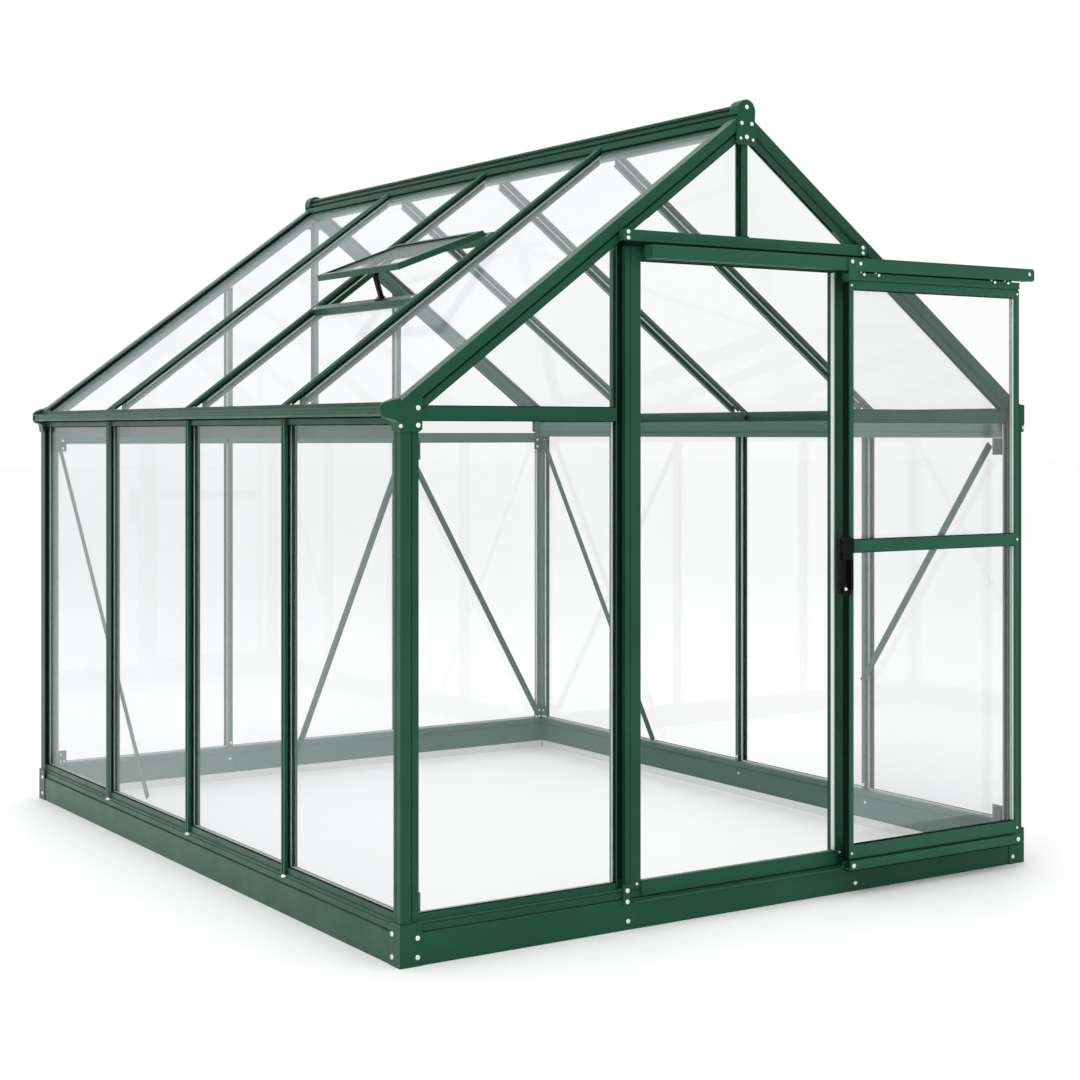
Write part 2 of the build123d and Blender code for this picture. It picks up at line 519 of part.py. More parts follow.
# closed ends
for xa in (TRACK_X0, TRACK_X1 - 3):
    track = track + block(xa, xa + 3, ty0, ty1, tz0, tz1)
spacers = [block(-312, -286, ty1, YF + 1, tz0 + 8, tz1 - 4), block(294, 320, ty1, YF, tz0 + 8, tz1 - 4)]
for b in spacers:
    track = track + b
cover = prism([(316, 1569), (943, 1569), (948, 1571), (951, 1576), (951, 1599), (316, 1599)],
              (0, ty0, 0), (1, 0, 0), (0, -1, 0), 4.0)
cover = cover + block(287, 316, ty0 - 6, ty0, tz0, 1601) + block(287, 316, ty0 - 6, ty0 - 3, 1547, tz0)
# skirt behind the leaf's hanger
skirt = block(302, 905, -11.5, -9, 1541, tz1 - 6) + block(302, 905, ty1, -9, tz1 - 12, tz1 - 6)
node("door_track", track + cover)
node("door_track_skirt", cut(skirt, *spacers))
guide_sec = [(-44, 66), (2, 66), (2, 69), (-14, 69), (-14, 84), (-17, 84), (-17, 69), (-42, 69), (-42, 90), (-46, 90),
             (-46, 71), (-44, 70)]
guide = xprism(guide_sec, 298, 905)
ledge = xprism([(-9, 63), (2, 63), (2, 67), (-6, 67), (-9, 66)], DOOR_X0 - 26, 296)
node("door_guide_rail", guide, ledge)

# ---------------------------------------------------------------- door leaf
lx0, lx1, ly0, ly1, lz0, lz1 = LEAF_X0, LEAF_X1, LEAF_Y0, LEAF_Y1, LEAF_Z0, LEAF_Z1
gy0, gy1 = -32.0, -28.0
st_sec = [(0, 1), (1, 0), (STILE_W - 1, 0), (STILE_W, 1), (STILE_W, gy0 - ly0), (STILE_W - 6, gy0 - ly0),
          (STILE_W - 6, gy1 - ly0), (STILE_W, gy1 - ly0), (STILE_W, ly1 - ly0), (0, ly1 - ly0)]
sl = zprism([(lx0 + a, ly0 + b) for a, b in st_sec], lz0, lz1)
sr = zprism([(lx1 - a, ly0 + b) for a, b in st_sec], lz0, lz1)
node("door_stiles", sl, sr)


def leaf_rail(z0, z1, up, dn):
    """Rail between the stiles with a glass groove in its upper or lower edge."""
    pts = [(ly0 + 0.5, z0), (ly0 + 0.5, z1)]
    if up:
        pts += [(gy0, z1), (gy0, z1 - 7), (gy1, z1 - 7), (gy1, z1)]
    pts += [(ly1, z1), (ly1, z0)]
    if dn:
        pts += [(gy1, z0), (gy1, z0 + 7), (gy0, z0 + 7), (gy0, z0)]
    return xprism(pts, lx0 + STILE_W, lx1 - STILE_W)


r_top = leaf_rail(1524, lz1, False, True)
r_mid = leaf_rail(863, 894, True, True)
r_bot = leaf_rail(lz0, 127, True, False)
fin = block(lx0 + 10, lx1 - 10, -31.5, -28.5, 75, lz0)
node("door_rails", r_top, r_mid, r_bot + fin)
node("door_glass", block(lx0 + STILE_W - 5.5, lx1 - STILE_W + 5.5, gy0, gy1, 120.5, 869.5),
     block(lx0 + STILE_W - 5.5, lx1 - STILE_W + 5.5, gy0, gy1, 887.5, 1530.5))
hang_sec = [(-43, 1547), (-43, 1555), (-41.5, 1556), (-41.5, 1558), (-43, 1559), (-43, 1565), (-17, 1565), (-17, 1547),
            (-24, 1547), (-24, lz1), (-38, lz1), (-38, 1547)]
node("door_hanger_rail", xprism(hang_sec, lx0, lx1))
rol = []
wz = tz0 + tw + 0.4 + 9.0
for xc in (lx0 + 45.0, lx0 + 95.0, lx1 - 95.0, lx1 - 45.0):
    r = Solid.make_cylinder(9.0, 5.0, Plane(origin=(xc, -42.9, wz), z_dir=(0, 1, 0)))
    r = r + Solid.make_cylinder(9.0, 5.0, Plane(origin=(xc, -22.1, wz), z_dir=(0, 1, 0)))
    r = r + Solid.make_cylinder(2.5, 25.8, Plane(origin=(xc, -42.9, wz), z_dir=(0, 1, 0)))
    r = r + block(xc - 4, xc + 4, -33, -27, 1565, wz)
    rol.append(r)
node("door_rollers", rol)

# handle: flat lock case reaching past the leading edge, with a raised head and a pull edge
def plate_xz(x0, x1, z0, z1, c):
    return [(x0 + c, z0), (x1 - c, z0), (x1, z0 + c), (x1, z1 - c), (x1 - c, z1), (x0 + c, z1), (x0, z1 - c), (x0, z0 + c)]


case = yprism(plate_xz(lx0 - 39, lx0 - 1, 757, 903, 4), ly0 - 9, ly0) + block(lx0 - 6, lx0 + 4, ly0 - 4, ly0, 770, 890)
head = yprism(plate_xz(lx0 - 37, lx0 - 3, 863, 901, 3), ly0 - 20, ly0 - 9)
lever = yprism(plate_xz(lx0 - 35, lx0 - 5, 846, 863, 2), ly0 - 15, ly0 - 9)
pull = yprism(plate_xz(lx0 - 13, lx0 - 5, 772, 846, 2), ly0 - 20, ly0 - 9)
boss = yprism(plate_xz(lx0 - 35, lx0 - 15, 762, 786, 3), ly0 - 13, ly0 - 9)
inner = yprism(plate_xz(lx0 - 8, lx0 + 8, 757, 903, 3), ly1, ly1 + 3)
knob = yprism(plate_xz(lx0 - 8, lx0 + 4, 860, 884, 2), ly1 + 3, ly1 + 12) + yprism(plate_xz(lx0 - 8, lx0 + 4, 762, 780, 2), ly1 + 3, ly1 + 9)
node("door_handle", case + head + lever + pull + boss, inner + knob)

# ---------------------------------------------------------------- write
boxes = [s.bounding_box() for v in NODES.values() for s in v]
lo = [min(b.min.X for b in boxes), min(b.min.Y for b in boxes), min(b.min.Z for b in boxes)]
hi = [max(b.max.X for b in boxes), max(b.max.Y for b in boxes), max(b.max.Z for b in boxes)]
dx, dy, dz = -(lo[0] + hi[0]) / 2, -(lo[1] + hi[1]) / 2, -lo[2]
os.makedirs("parts", exist_ok=True)
for name, ss in NODES.items():
    moved = [s.moved(Location((dx, dy, dz))) for s in ss]
    shape = moved[0] if len(moved) == 1 else Compound(moved)
    export_step(shape, "parts/%s.step" % name)
print("nodes", len(NODES), "shift", round(dx, 3), round(dy, 3), round(dz, 3))
print("box", [round(v, 2) for v in lo], [round(v, 2) for v in hi])
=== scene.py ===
import bpy, bmesh, math
from mathutils import Vector, Matrix, Euler


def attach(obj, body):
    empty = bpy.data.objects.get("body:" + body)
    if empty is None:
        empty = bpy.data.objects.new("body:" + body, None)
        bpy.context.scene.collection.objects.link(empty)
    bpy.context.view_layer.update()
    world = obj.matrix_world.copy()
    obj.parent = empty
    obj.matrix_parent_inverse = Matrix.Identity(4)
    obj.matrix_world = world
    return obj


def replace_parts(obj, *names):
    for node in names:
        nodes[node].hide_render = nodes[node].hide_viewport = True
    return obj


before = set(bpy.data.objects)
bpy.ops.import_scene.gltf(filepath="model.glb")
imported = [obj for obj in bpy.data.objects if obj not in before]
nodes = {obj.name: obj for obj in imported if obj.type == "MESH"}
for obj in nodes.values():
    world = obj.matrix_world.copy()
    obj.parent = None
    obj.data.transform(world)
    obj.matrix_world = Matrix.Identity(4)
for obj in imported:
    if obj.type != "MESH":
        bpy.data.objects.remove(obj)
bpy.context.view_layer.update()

# ------------------------------------------------------------------ layout
# lengths in mm with the front of the plinth at y = 0; V() turns them into the row frame
DY = -1152.5
W, L, BASE_H, INSET = 1930.0, 2366.0, 94.0, 4.0
P, YF, YR = W / 2 - INSET, INSET, L - INSET
POST_W, POST_D, RAFTER_W = 48.0, 32.0, 48.0
HEAD_D, GLASS_T, BAR_D, H2 = 14.0, 4.0, 36.0, 10.0
SILL_TOP, EAVE_LOW, EAVE_TOP = 111.0, 1183.0, 1200.0
BAR_Y = [L * 0.25, L * 0.5, L * 0.75]
REAR_X = [-322.0, 322.0]
DOOR_X0, DOOR_X1, JW = -316.0, 292.0, 68.0
HEAD_LOW, HEAD_TOP = 1569.0, 1602.0
MID_LOW, MID_TOP = 1191.0, 1222.0
REAR_LOW, REAR_TOP = 1130.0, 1161.0
E, R = (-965.0, 1229.0), (-18.0, 1935.0)
PHI = math.atan2(R[1] - E[1], R[0] - E[0])
CP, SP = math.cos(PHI), math.sin(PHI)
VENT_HI, VENT_LO = -366.0, -583.0
LX0, LX1, LY0, LY1, LZ0, LZ1, STILE = 298.0, 902.0, -41.0, -19.0, 96.0, 1544.0, 14.0


def V(x, y, z):
    return Vector((x / 1000.0, (y + DY) / 1000.0, z / 1000.0))


def roof_z(x, off=0.0):
    return E[1] + (x - E[0]) * math.tan(PHI) + off / CP


# ------------------------------------------------------------------ materials
def new_mat(name):
    m = bpy.data.materials.new(name)
    m.use_nodes = True
    nt = m.node_tree
    return m, nt, nt.nodes["Principled BSDF"]


def ramp(nt, stops):
    r = nt.nodes.new("ShaderNodeValToRGB")
    el = r.color_ramp.elements
    el[0].position, el[0].color = stops[0][0], stops[0][1]
    el[1].position, el[1].color = stops[-1][0], stops[-1][1]
    for p, c in stops[1:-1]:
        e = el.new(p)
        e.color = c
    return r


def g(v):
    return (v, v, v, 1.0)


def coords(nt, scale):
    tc = nt.nodes.new("ShaderNodeTexCoord")
    mp = nt.nodes.new("ShaderNodeMapping")
    mp.inputs["Scale"].default_value = scale
    nt.links.new(tc.outputs["Object"], mp.inputs["Vector"])
    return mp


def noise(nt, vec, scale, detail=3.0, rough=0.5):
    n = nt.nodes.new("ShaderNodeTexNoise")
    n.inputs["Scale"].default_value = scale
    n.inputs["Detail"].default_value = detail
    n.inputs["Roughness"].default_value = rough
    nt.links.new(vec.outputs["Vector"], n.inputs["Vector"])
    return n


def powder_coat(name, dark, mid, light, rough=(0.36, 0.5), bump=0.05, inner=None):
    """Satin powder coat; inner is a lighter colour painted on faces turned to the middle of the house, a painted haze
    standing in for the glass in front of them.
    """
    m, nt, b = new_mat(name)
    lk = nt.links.new
    c = coords(nt, (1, 1, 1))
    n1 = noise(nt, c, 3.2, 4.0, 0.55)
    r1 = ramp(nt, [(0.30, dark), (0.52, mid), (0.78, light)])
    lk(n1.outputs["Fac"], r1.inputs["Fac"])
    n2 = noise(nt, c, 900.0, 2.0, 0.6)
    r2 = ramp(nt, [(0.35, g(0.93)), (0.65, g(1.06))])
    lk(n2.outputs["Fac"], r2.inputs["Fac"])
    col = r1.outputs["Color"]
    # painted haze: faces whose normal points towards the middle of the house get the lighter inner colour
    if inner:
        geo = nt.nodes.new("ShaderNodeNewGeometry")
        sub = nt.nodes.new("ShaderNodeVectorMath")
        sub.operation = "SUBTRACT"
        sub.inputs[1].default_value = (0.0, 0.0, 0.75)
        lk(geo.outputs["Position"], sub.inputs[0])
        dot = nt.nodes.new("ShaderNodeVectorMath")
        dot.operation = "DOT_PRODUCT"
        lk(sub.outputs["Vector"], dot.inputs[0])
        lk(geo.outputs["True Normal"], dot.inputs[1])
        mr = nt.nodes.new("ShaderNodeMapRange")
        mr.inputs["From Min"].default_value = -0.10
        mr.inputs["From Max"].default_value = -0.30
        lk(dot.outputs["Value"], mr.inputs["Value"])
        mi = nt.nodes.new("ShaderNodeMix")
        mi.data_type = "RGBA"
        lk(mr.outputs["Result"], mi.inputs[0])
        lk(r1.outputs["Color"], mi.inputs[6])
        mi.inputs[7].default_value = inner
        col = mi.outputs[2]
    mul = nt.nodes.new("ShaderNodeMix")
    mul.data_type = "RGBA"
    mul.blend_type = "MULTIPLY"
    mul.inputs[0].default_value = 1.0
    lk(col, mul.inputs[6])
    lk(r2.outputs["Color"], mul.inputs[7])
    lk(mul.outputs[2], b.inputs["Base Color"])
    n3 = noise(nt, c, 14.0, 3.0, 0.6)
    r3 = ramp(nt, [(0.3, g(rough[0])), (0.7, g(rough[1]))])
    lk(n3.outputs["Fac"], r3.inputs["Fac"])
    lk(r3.outputs["Color"], b.inputs["Roughness"])
    bp = nt.nodes.new("ShaderNodeBump")
    bp.inputs["Strength"].default_value = bump
    bp.inputs["Distance"].default_value = 0.0003
    lk(n2.outputs["Fac"], bp.inputs["Height"])
    lk(bp.outputs["Normal"], b.inputs["Normal"])
    # the coat turns glossier towards grazing angles
    lw = nt.nodes.new("ShaderNodeLayerWeight")
    lw.inputs["Blend"].default_value = 0.5
    r4 = ramp(nt, [(0.0, g(0.12)), (0.48, g(0.18)), (0.72, g(0.85)), (1.0, g(1.0))])
    lk(lw.outputs["Facing"], r4.inputs["Fac"])
    lk(r4.outputs["Color"], b.inputs["Specular IOR Level"])
    return m


GREEN = powder_coat("green_powder_coat", (0.0075, 0.060, 0.032, 1), (0.0095, 0.070, 0.039, 1), (0.013, 0.083, 0.048, 1))
# walls: faces turned inwards take a lighter painted haze colour
GREEN_OUT = powder_coat("green_powder_coat_walls", (0.0075, 0.060, 0.032, 1), (0.0095, 0.070, 0.039, 1),
                        (0.013, 0.083, 0.048, 1), inner=(0.075, 0.145, 0.120, 1))
# lighter copy of the same green for the door and gable header: painted light standing in for their brighter lit faces
GREEN_DOOR_LIT = powder_coat("green_powder_coat_door", (0.012, 0.079, 0.045, 1), (0.015, 0.091, 0.053, 1),
                         (0.020, 0.106, 0.064, 1))
# braces and inner brackets: faces turned inwards take a lighter painted haze colour
GREEN_IN = powder_coat("green_powder_coat_braces", (0.012, 0.058, 0.036, 1), (0.018, 0.072, 0.046, 1),
                       (0.026, 0.088, 0.058, 1), rough=(0.4, 0.55), inner=(0.045, 0.105, 0.080, 1))


def glass_mat(name, k, tint, tint2, metal=1.0, top=1.0):
    """Thin clear sheet: a faint mirror veil that grows towards grazing angles."""
    m, nt, b = new_mat(name)
    lk = nt.links.new
    c = coords(nt, (1, 1, 1))
    n1 = noise(nt, c, 2.2, 0.0, 0.5)
    r1 = ramp(nt, [(0.3, tint), (0.7, tint2)])
    lk(n1.outputs["Fac"], r1.inputs["Fac"])
    lk(r1.outputs["Color"], b.inputs["Base Color"])
    b.inputs["Metallic"].default_value = metal
    lw = nt.nodes.new("ShaderNodeLayerWeight")
    lw.inputs["Blend"].default_value = 0.5
    r2 = ramp(nt, [(0.0, g(0.05 * k)), (0.3, g(0.06 * k)), (0.5, g(0.10 * k)), (0.74, g(0.24 * k)), (0.83, g(0.36 * k)),
                   (0.93, g(0.6 * top)), (1.0, g(1.0 * top))])
    lk(lw.outputs["Facing"], r2.inputs["Fac"])
    lk(r2.outputs["Color"], b.inputs["Alpha"])
    b.inputs["Roughness"].default_value = 0.03
    return m


GLASS = glass_mat("clear_glass", 1.0, (0.66, 0.72, 0.73, 1), (0.72, 0.78, 0.79, 1))
GLASS_ROOF = glass_mat("clear_roof_glass", 0.55, (0.72, 0.80, 0.82, 1), (0.80, 0.88, 0.90, 1), 0.35, 0.6)
GLASS_VENT = glass_mat("clear_vent_glass", 0.5, (0.80, 0.86, 0.87, 1), (0.88, 0.93, 0.94, 1), 0.0, 0.45)
GLASS_DOOR = glass_mat("clear_door_glass", 0.9, (0.68, 0.73, 0.74, 1), (0.74, 0.79, 0.80, 1))


def rubber(name, lo, hi, rough=(0.55, 0.75), scale=260.0, spec=0.04):
    m, nt, b = new_mat(name)
    lk = nt.links.new
    c = coords(nt, (1, 1, 1))
    n1 = noise(nt, c, scale, 3.0, 0.6)
    r1 = ramp(nt, [(0.3, lo), (0.7, hi)])
    lk(n1.outputs["Fac"], r1.inputs["Fac"])
    lk(r1.outputs["Color"], b.inputs["Base Color"])
    n2 = noise(nt, c, 30.0, 3.0, 0.6)
    r2 = ramp(nt, [(0.3, g(rough[0])), (0.7, g(rough[1]))])
    lk(n2.outputs["Fac"], r2.inputs["Fac"])
    lk(r2.outputs["Color"], b.inputs["Roughness"])
    bp = nt.nodes.new("ShaderNodeBump")
    bp.inputs["Strength"].default_value = 0.15
    bp.inputs["Distance"].default_value = 0.0004
    lk(n1.outputs["Fac"], bp.inputs["Height"])
    lk(bp.outputs["Normal"], b.inputs["Normal"])
    b.inputs["Specular IOR Level"].default_value = spec
    return m


# black rubber, also used for strips that stand in for shadow
BLACK_AND_SHADE = rubber("black_rubber_and_painted_shade", (0.003, 0.006, 0.005, 1), (0.007, 0.011, 0.009, 1), spec=0.02)
PLASTIC = rubber("black_moulding", (0.003, 0.004, 0.004, 1), (0.006, 0.007, 0.007, 1), rough=(0.22, 0.32), scale=600.0, spec=0.07)
# pale strips: seals painted near-white as a painted highlight along the glass edges
PALE_HIGHLIGHT = rubber("pale_seal", (0.62, 0.64, 0.62, 1), (0.76, 0.78, 0.76, 1), rough=(0.5, 0.7), scale=400.0, spec=0.4)


def steel(name):
    m, nt, b = new_mat(name)
    lk = nt.links.new
    c = coords(nt, (1, 1, 1))
    n1 = noise(nt, c, 700.0, 3.0, 0.6)
    r1 = ramp(nt, [(0.3, (0.80, 0.81, 0.80, 1)), (0.7, (0.94, 0.95, 0.94, 1))])
    lk(n1.outputs["Fac"], r1.inputs["Fac"])
    lk(r1.outputs["Color"], b.inputs["Base Color"])
    r2 = ramp(nt, [(0.3, g(0.24)), (0.7, g(0.40))])
    lk(n1.outputs["Fac"], r2.inputs["Fac"])
    lk(r2.outputs["Color"], b.inputs["Roughness"])
    b.inputs["Metallic"].default_value = 1.0
    return m


STEEL = steel("zinc_screws")

# ------------------------------------------------------------------ mesh helpers
class Piece:
    """Collects closed solids in one mesh."""

    def __init__(self):
        self.v, self.f, self.s = [], [], []

    def add(self, verts, faces, smooth=False):
        k = len(self.v)
        self.v += [tuple(p) for p in verts]
        self.f += [tuple(i + k for i in q) for q in faces]
        self.s += [smooth] * len(faces)

    def build(self, name, mat, body, slot):
        me = bpy.data.meshes.new(name)
        me.from_pydata(self.v, [], self.f)
        me.materials.append(mat)
        for p, s in zip(me.polygons, self.s):
            p.use_smooth = s
        bm = bmesh.new()
        bm.from_mesh(me)
        bmesh.ops.recalc_face_normals(bm, faces=bm.faces)
        bm.to_mesh(me)
        bm.free()
        o = bpy.data.objects.new(name, me)
        bpy.context.scene.collection.objects.link(o)
        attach(o, body)
        return o


def ext(pc, pts, a, b, frame_x, frame_y, smooth=False):
    """Extrudes a closed outline (pts in mm along frame_x, frame_y) from point a to point b."""
    n = len(pts)
    va = [a + frame_x * (u / 1000.0) + frame_y * (w / 1000.0) for u, w in pts]
    vb = [b + frame_x * (u / 1000.0) + frame_y * (w / 1000.0) for u, w in pts]
    faces = [tuple(reversed(range(n))), tuple(range(n, 2 * n))]
    faces += [(i, (i + 1) % n, n + (i + 1) % n, n + i) for i in range(n)]
    pc.add(va + vb, faces, smooth)


def rounded(w0, w1, t0, t1, r=0.5):
    """Rectangle outline with clipped corners, in mm."""
    return [(w0 + r, t0), (w1 - r, t0), (w1, t0 + r), (w1, t1 - r), (w1 - r, t1), (w0 + r, t1), (w0, t1 - r), (w0, t0 + r)]


X, Y, Z = Vector((1, 0, 0)), Vector((0, 1, 0)), Vector((0, 0, 1))


def strip(pc, a, b, across, out, w0, w1, t0, t1, r=0.5):
    """Rounded strip from a to b; section spans w0..w1 along across and t0..t1 along out."""
    ext(pc, rounded(w0, w1, t0, t1, r), V(*a), V(*b), across, out)


def lathe(pc, centre, axis, prof, seg=20, recess=0.0):
    """Turned piece: prof is a list of (radius, height) in mm from the rim inwards to the crown."""
    axis = axis.normalized()
    side = axis.cross(Z if abs(axis.z) < 0.9 else X).normalized()
    up = axis.cross(side)
    vs, fs = [], []
    for r, h in prof:
        for i in range(seg):
            t = 2 * math.pi * i / seg
            hh = h
            if recess and r < 3.0 and r > 0.8:
                # arms of the cross recess
                d = min(abs(((t + math.pi / 4) % (math.pi / 2)) - math.pi / 4), math.pi / 4)
                if d < 0.3:
                    hh = h - recess
            elif recess and r <= 0.8:
                hh = h - recess
            vs.append(centre + (side * (r * math.cos(t)) + up * (r * math.sin(t)) + axis * hh) / 1000.0)
    n = len(prof)
    for k in range(n - 1):
        for i in range(seg):
            j = (i + 1) % seg
            fs.append((k * seg + i, k * seg + j, (k + 1) * seg + j, (k + 1) * seg + i))
    fs.append(tuple(reversed(range(seg))))
    fs.append(tuple((n - 1) * seg + i for i in range(seg)))
    pc.add(vs, fs, True)


def screw(pc, p, out, r=5.2, h=3.0):
    """Pan-head screw with a cross recess, its head seated on the surface at p."""
    k = r / 5.2
    prof = [(r, -0.6), (r, 0.5 * k), (r * 0.96, 1.3 * k), (r * 0.86, 2.1 * k), (r * 0.68, 2.7 * k),
            (2.9 * k, h * k), (2.4 * k, h * k), (1.5 * k, h * k), (0.7 * k, h * k)]
    lathe(pc, V(*p), out, prof, 24, 1.5 * k)


def hexnut(pc, p, out, r=6.5, h=5.0):
    axis = out.normalized()
    side = axis.cross(Z if abs(axis.z) < 0.9 else X).normalized()
    up = axis.cross(side)
    vs = []
    c = V(*p)
    for hh, rr in ((-0.5, r), (h * 0.8, r), (h, r * 0.86)):
        for i in range(6):
            t = math.pi / 3 * i
            vs.append(c + (side * (rr * math.cos(t)) + up * (rr * math.sin(t)) + axis * hh) / 1000.0)
    fs = [tuple(reversed(range(6))), tuple(12 + i for i in range(6))]
    for k in range(2):
        fs += [(k * 6 + i, k * 6 + (i + 1) % 6, (k + 1) * 6 + (i + 1) % 6, (k + 1) * 6 + i) for i in range(6)]
    pc.add(vs, fs)


# ------------------------------------------------------------------ CAD nodes: materials
GLASSES = [n for n in nodes if "glass" in n and not n.startswith("door")]
for name, o in nodes.items():
    if name == "door_glass":
        m = GLASS_DOOR
    elif name == "roof_vent_glass":
        m = GLASS_VENT
    elif name in ("left_roof_glass", "right_roof_glass"):
        m = GLASS_ROOF
    elif name in GLASSES:
        m = GLASS
    elif name in ("door_handle", "roof_vent_stay"):
        m = PLASTIC
    elif name == "door_rollers":
        m = STEEL
    # door parts and gable header take the lighter painted-light copy of the green
    elif name == "gable_header" or name.startswith("door_") and name not in ("door_jambs", "door_head_rail", "door_sill_rail"):
        m = GREEN_DOOR_LIT
    elif name in ("wall_braces", "inner_corner_brackets"):
        m = GREEN_IN
    elif name in ("door_jambs", "door_head_rail", "door_sill_rail", "base_corner_plates",
                  "gutters", "gutter_end_caps", "ridge_end_plates", "roof_vent_frame", "roof_vent_rails"):
        m = GREEN
    else:
        m = GREEN_OUT
    o.data.materials.clear()
    o.data.materials.append(m)

# ------------------------------------------------------------------ glazing strips
gask_and_shade, inn = Piece(), Piece()
sgn = (-1, 1)
slope = {s: Vector((-s * CP, 0, SP)) for s in sgn}       # up the slope; s = -1 left, +1 right
nrm = {s: Vector((s * SP, 0, CP)) for s in sgn}          # outward from the slope
# black strips beside the outer flanges, pale ones inside the glass, painted pale as the bright highlight along the
# glass edges
O0, O1 = -14.0, -8.6        # outer strips, from the glass outwards
I0, I1 = -20.4, -18.0       # inner strips, on the inner face of the glass
YS = [YF + POST_D] + BAR_Y + [YR - POST_D]
for s in sgn:
    o = X * s
    for y in BAR_Y:
        for q in sgn:
            strip(gask_and_shade, (s * P, y, SILL_TOP + 0.5), (s * P, y, EAVE_LOW - 0.5), Y * q, o, 8.6, 11.4, O0, O1)
            strip(inn, (s * P, y, 110.0), (s * P, y, EAVE_LOW - 2), Y * q, o, 1.8, 8.2, I0, I1)
            x0, x1 = 947.0, 31.0
            A, B_ = (s * x0, y, roof_z(-x0)), (s * x1, y, roof_z(-x1))
            strip(gask_and_shade, A, B_, Y * q, nrm[s], 8.6, 11.4, O0, O1)
            A, B_ = (s * 915.0, y, roof_z(-915.0)), (s * x1, y, roof_z(-x1))
            strip(inn, A, B_, Y * q, nrm[s], 1.8, 8.2, I0, I1)
    for k in range(4):
        a, b = YS[k] + (1 if k == 0 else 11), YS[k + 1] - (1 if k == 3 else 11)
        strip(gask_and_shade, (s * P, a, SILL_TOP), (s * P, b, SILL_TOP), Z, o, -0.6, 1.8, O0, -9.6)
        strip(gask_and_shade, (s * P, a, EAVE_LOW), (s * P, b, EAVE_LOW), Z, o, -2.2, 0.6, O0, -8.8)
        strip(inn, (s * P, a, 109), (s * P, b, 109), Z, o, -0.4, 3.4, -21.0, -18.0)
        # underside of the gutter: a black strip as painted shade in the gap under the gutter
        strip(gask_and_shade, (s * P, a - 8, EAVE_TOP), (s * P, b + 8, EAVE_TOP), Z, o, -3.4, 0.2, -7.8, 2.0)
    # corner posts and rafters, long edges towards the glass
    for y, q in ((YF + POST_D, 1), (YR - POST_D, -1)):
        strip(gask_and_shade, (s * P, y, SILL_TOP), (s * P, y, EAVE_LOW), Y * q, o, -0.8, 1.8, O0, -3.0)
        strip(inn, (s * P, y, SILL_TOP), (s * P, y, EAVE_LOW - 2), Y * q, o, -0.6, 5.0, I0, I1)
        x0, x1 = 946.0, 32.0
        strip(gask_and_shade, (s * x0, y, roof_z(-x0)), (s * x1, y, roof_z(-x1)), Y * q, nrm[s], -0.8, 1.8, O0, -5.0)
# gables
def gable_strip(y_face, q, a, b, across, w0=-0.8, w1=1.6, t1=-9.0):
    strip(gask_and_shade, (a[0], y_face, a[1]), (b[0], y_face, b[1]), across, Y * q, w0, w1, O0, t1)


for yf, q in ((YF, -1), (YR, 1)):
    front = q == -1
    ml, mt = (MID_LOW, MID_TOP) if front else (REAR_LOW, REAR_TOP)
    for s in sgn:
        xp = P - POST_W
        gable_strip(yf, q, (s * xp, SILL_TOP), (s * xp, ml), X * -s)
        strip(inn, (s * xp, yf, SILL_TOP), (s * xp, yf, ml), X * -s, Y * q, -0.6, 5.0, I0, I1)
        # under the rafters
        x0, x1 = (xp - 2.0, 60.0) if not front else (xp - 2.0, (-(DOOR_X0) + JW if s < 0 else DOOR_X1 + JW))
        strip(gask_and_shade, (s * x0, yf, roof_z(-x0, -RAFTER_W)), (s * x1, yf, roof_z(-x1, -RAFTER_W)), nrm[s], Y * q, -2.2, 0.8,
              O0, -9.0)
        if front:
            xi = 290.0
            strip(gask_and_shade, (s * xi, yf, roof_z(-xi, -RAFTER_W)), (s * 16.0, yf, roof_z(-16.0, -RAFTER_W)), nrm[s], Y * q, -2.2,
                  0.8, O0, -9.0)
    if front:
        spans = [(-P + POST_W, DOOR_X0 - JW), (DOOR_X1 + JW, P - POST_W)]
    else:
        spans = [(-P + POST_W, REAR_X[0] - H2), (REAR_X[0] + H2, REAR_X[1] - H2), (REAR_X[1] + H2, P - POST_W)]
    for a, b in spans:
        gable_strip(yf, q, (a, SILL_TOP), (b, SILL_TOP), Z)
        gable_strip(yf, q, (a, ml), (b, ml), Z, -2.0, 0.6)
        gable_strip(yf, q, (a, mt), (b, mt), Z, -0.6, 2.0)
        strip(inn, (a, yf, 109), (b, yf, 109), Z, Y * q, -0.4, 3.4, -21.0, -18.0)
    if not front:
        for x in REAR_X:
            zt = roof_z(-abs(x), -RAFTER_W)
            for w in sgn:
                for za, zb in ((SILL_TOP, ml), (mt, zt - 8)):
                    gable_strip(yf, q, (x, za), (x, zb), X * w, 9.2, 11.4)
                    strip(inn, (x, yf, za), (x, yf, zb), X * w, Y * q, 1.8, 8.2, I0, I1)
        for w in sgn:
            gable_strip(yf, q, (0, mt), (0, 1870), X * w, 7.6, 10.0)
    else:
        for w in sgn:
            gable_strip(yf, q, (0, HEAD_TOP + 38), (0, 1870), X * w, 7.6, 10.0)
        gable_strip(yf, q, (DOOR_X0 - JW, SILL_TOP), (DOOR_X0 - JW, 1590), X * -1, -0.8, 1.6, -11.0)
        gable_strip(yf, q, (DOOR_X1 + JW, SILL_TOP), (DOOR_X1 + JW, 1590), X, -0.8, 1.6, -11.0)
        strip(inn, (DOOR_X0 - JW, yf, SILL_TOP), (DOOR_X0 - JW, yf, MID_LOW), X * -1, Y * q, -0.6, 5.0, I0, I1)
        strip(inn, (DOOR_X1 + JW, yf, SILL_TOP), (DOOR_X1 + JW, yf, MID_LOW), X, Y * q, -0.6, 5.0, I0, I1)
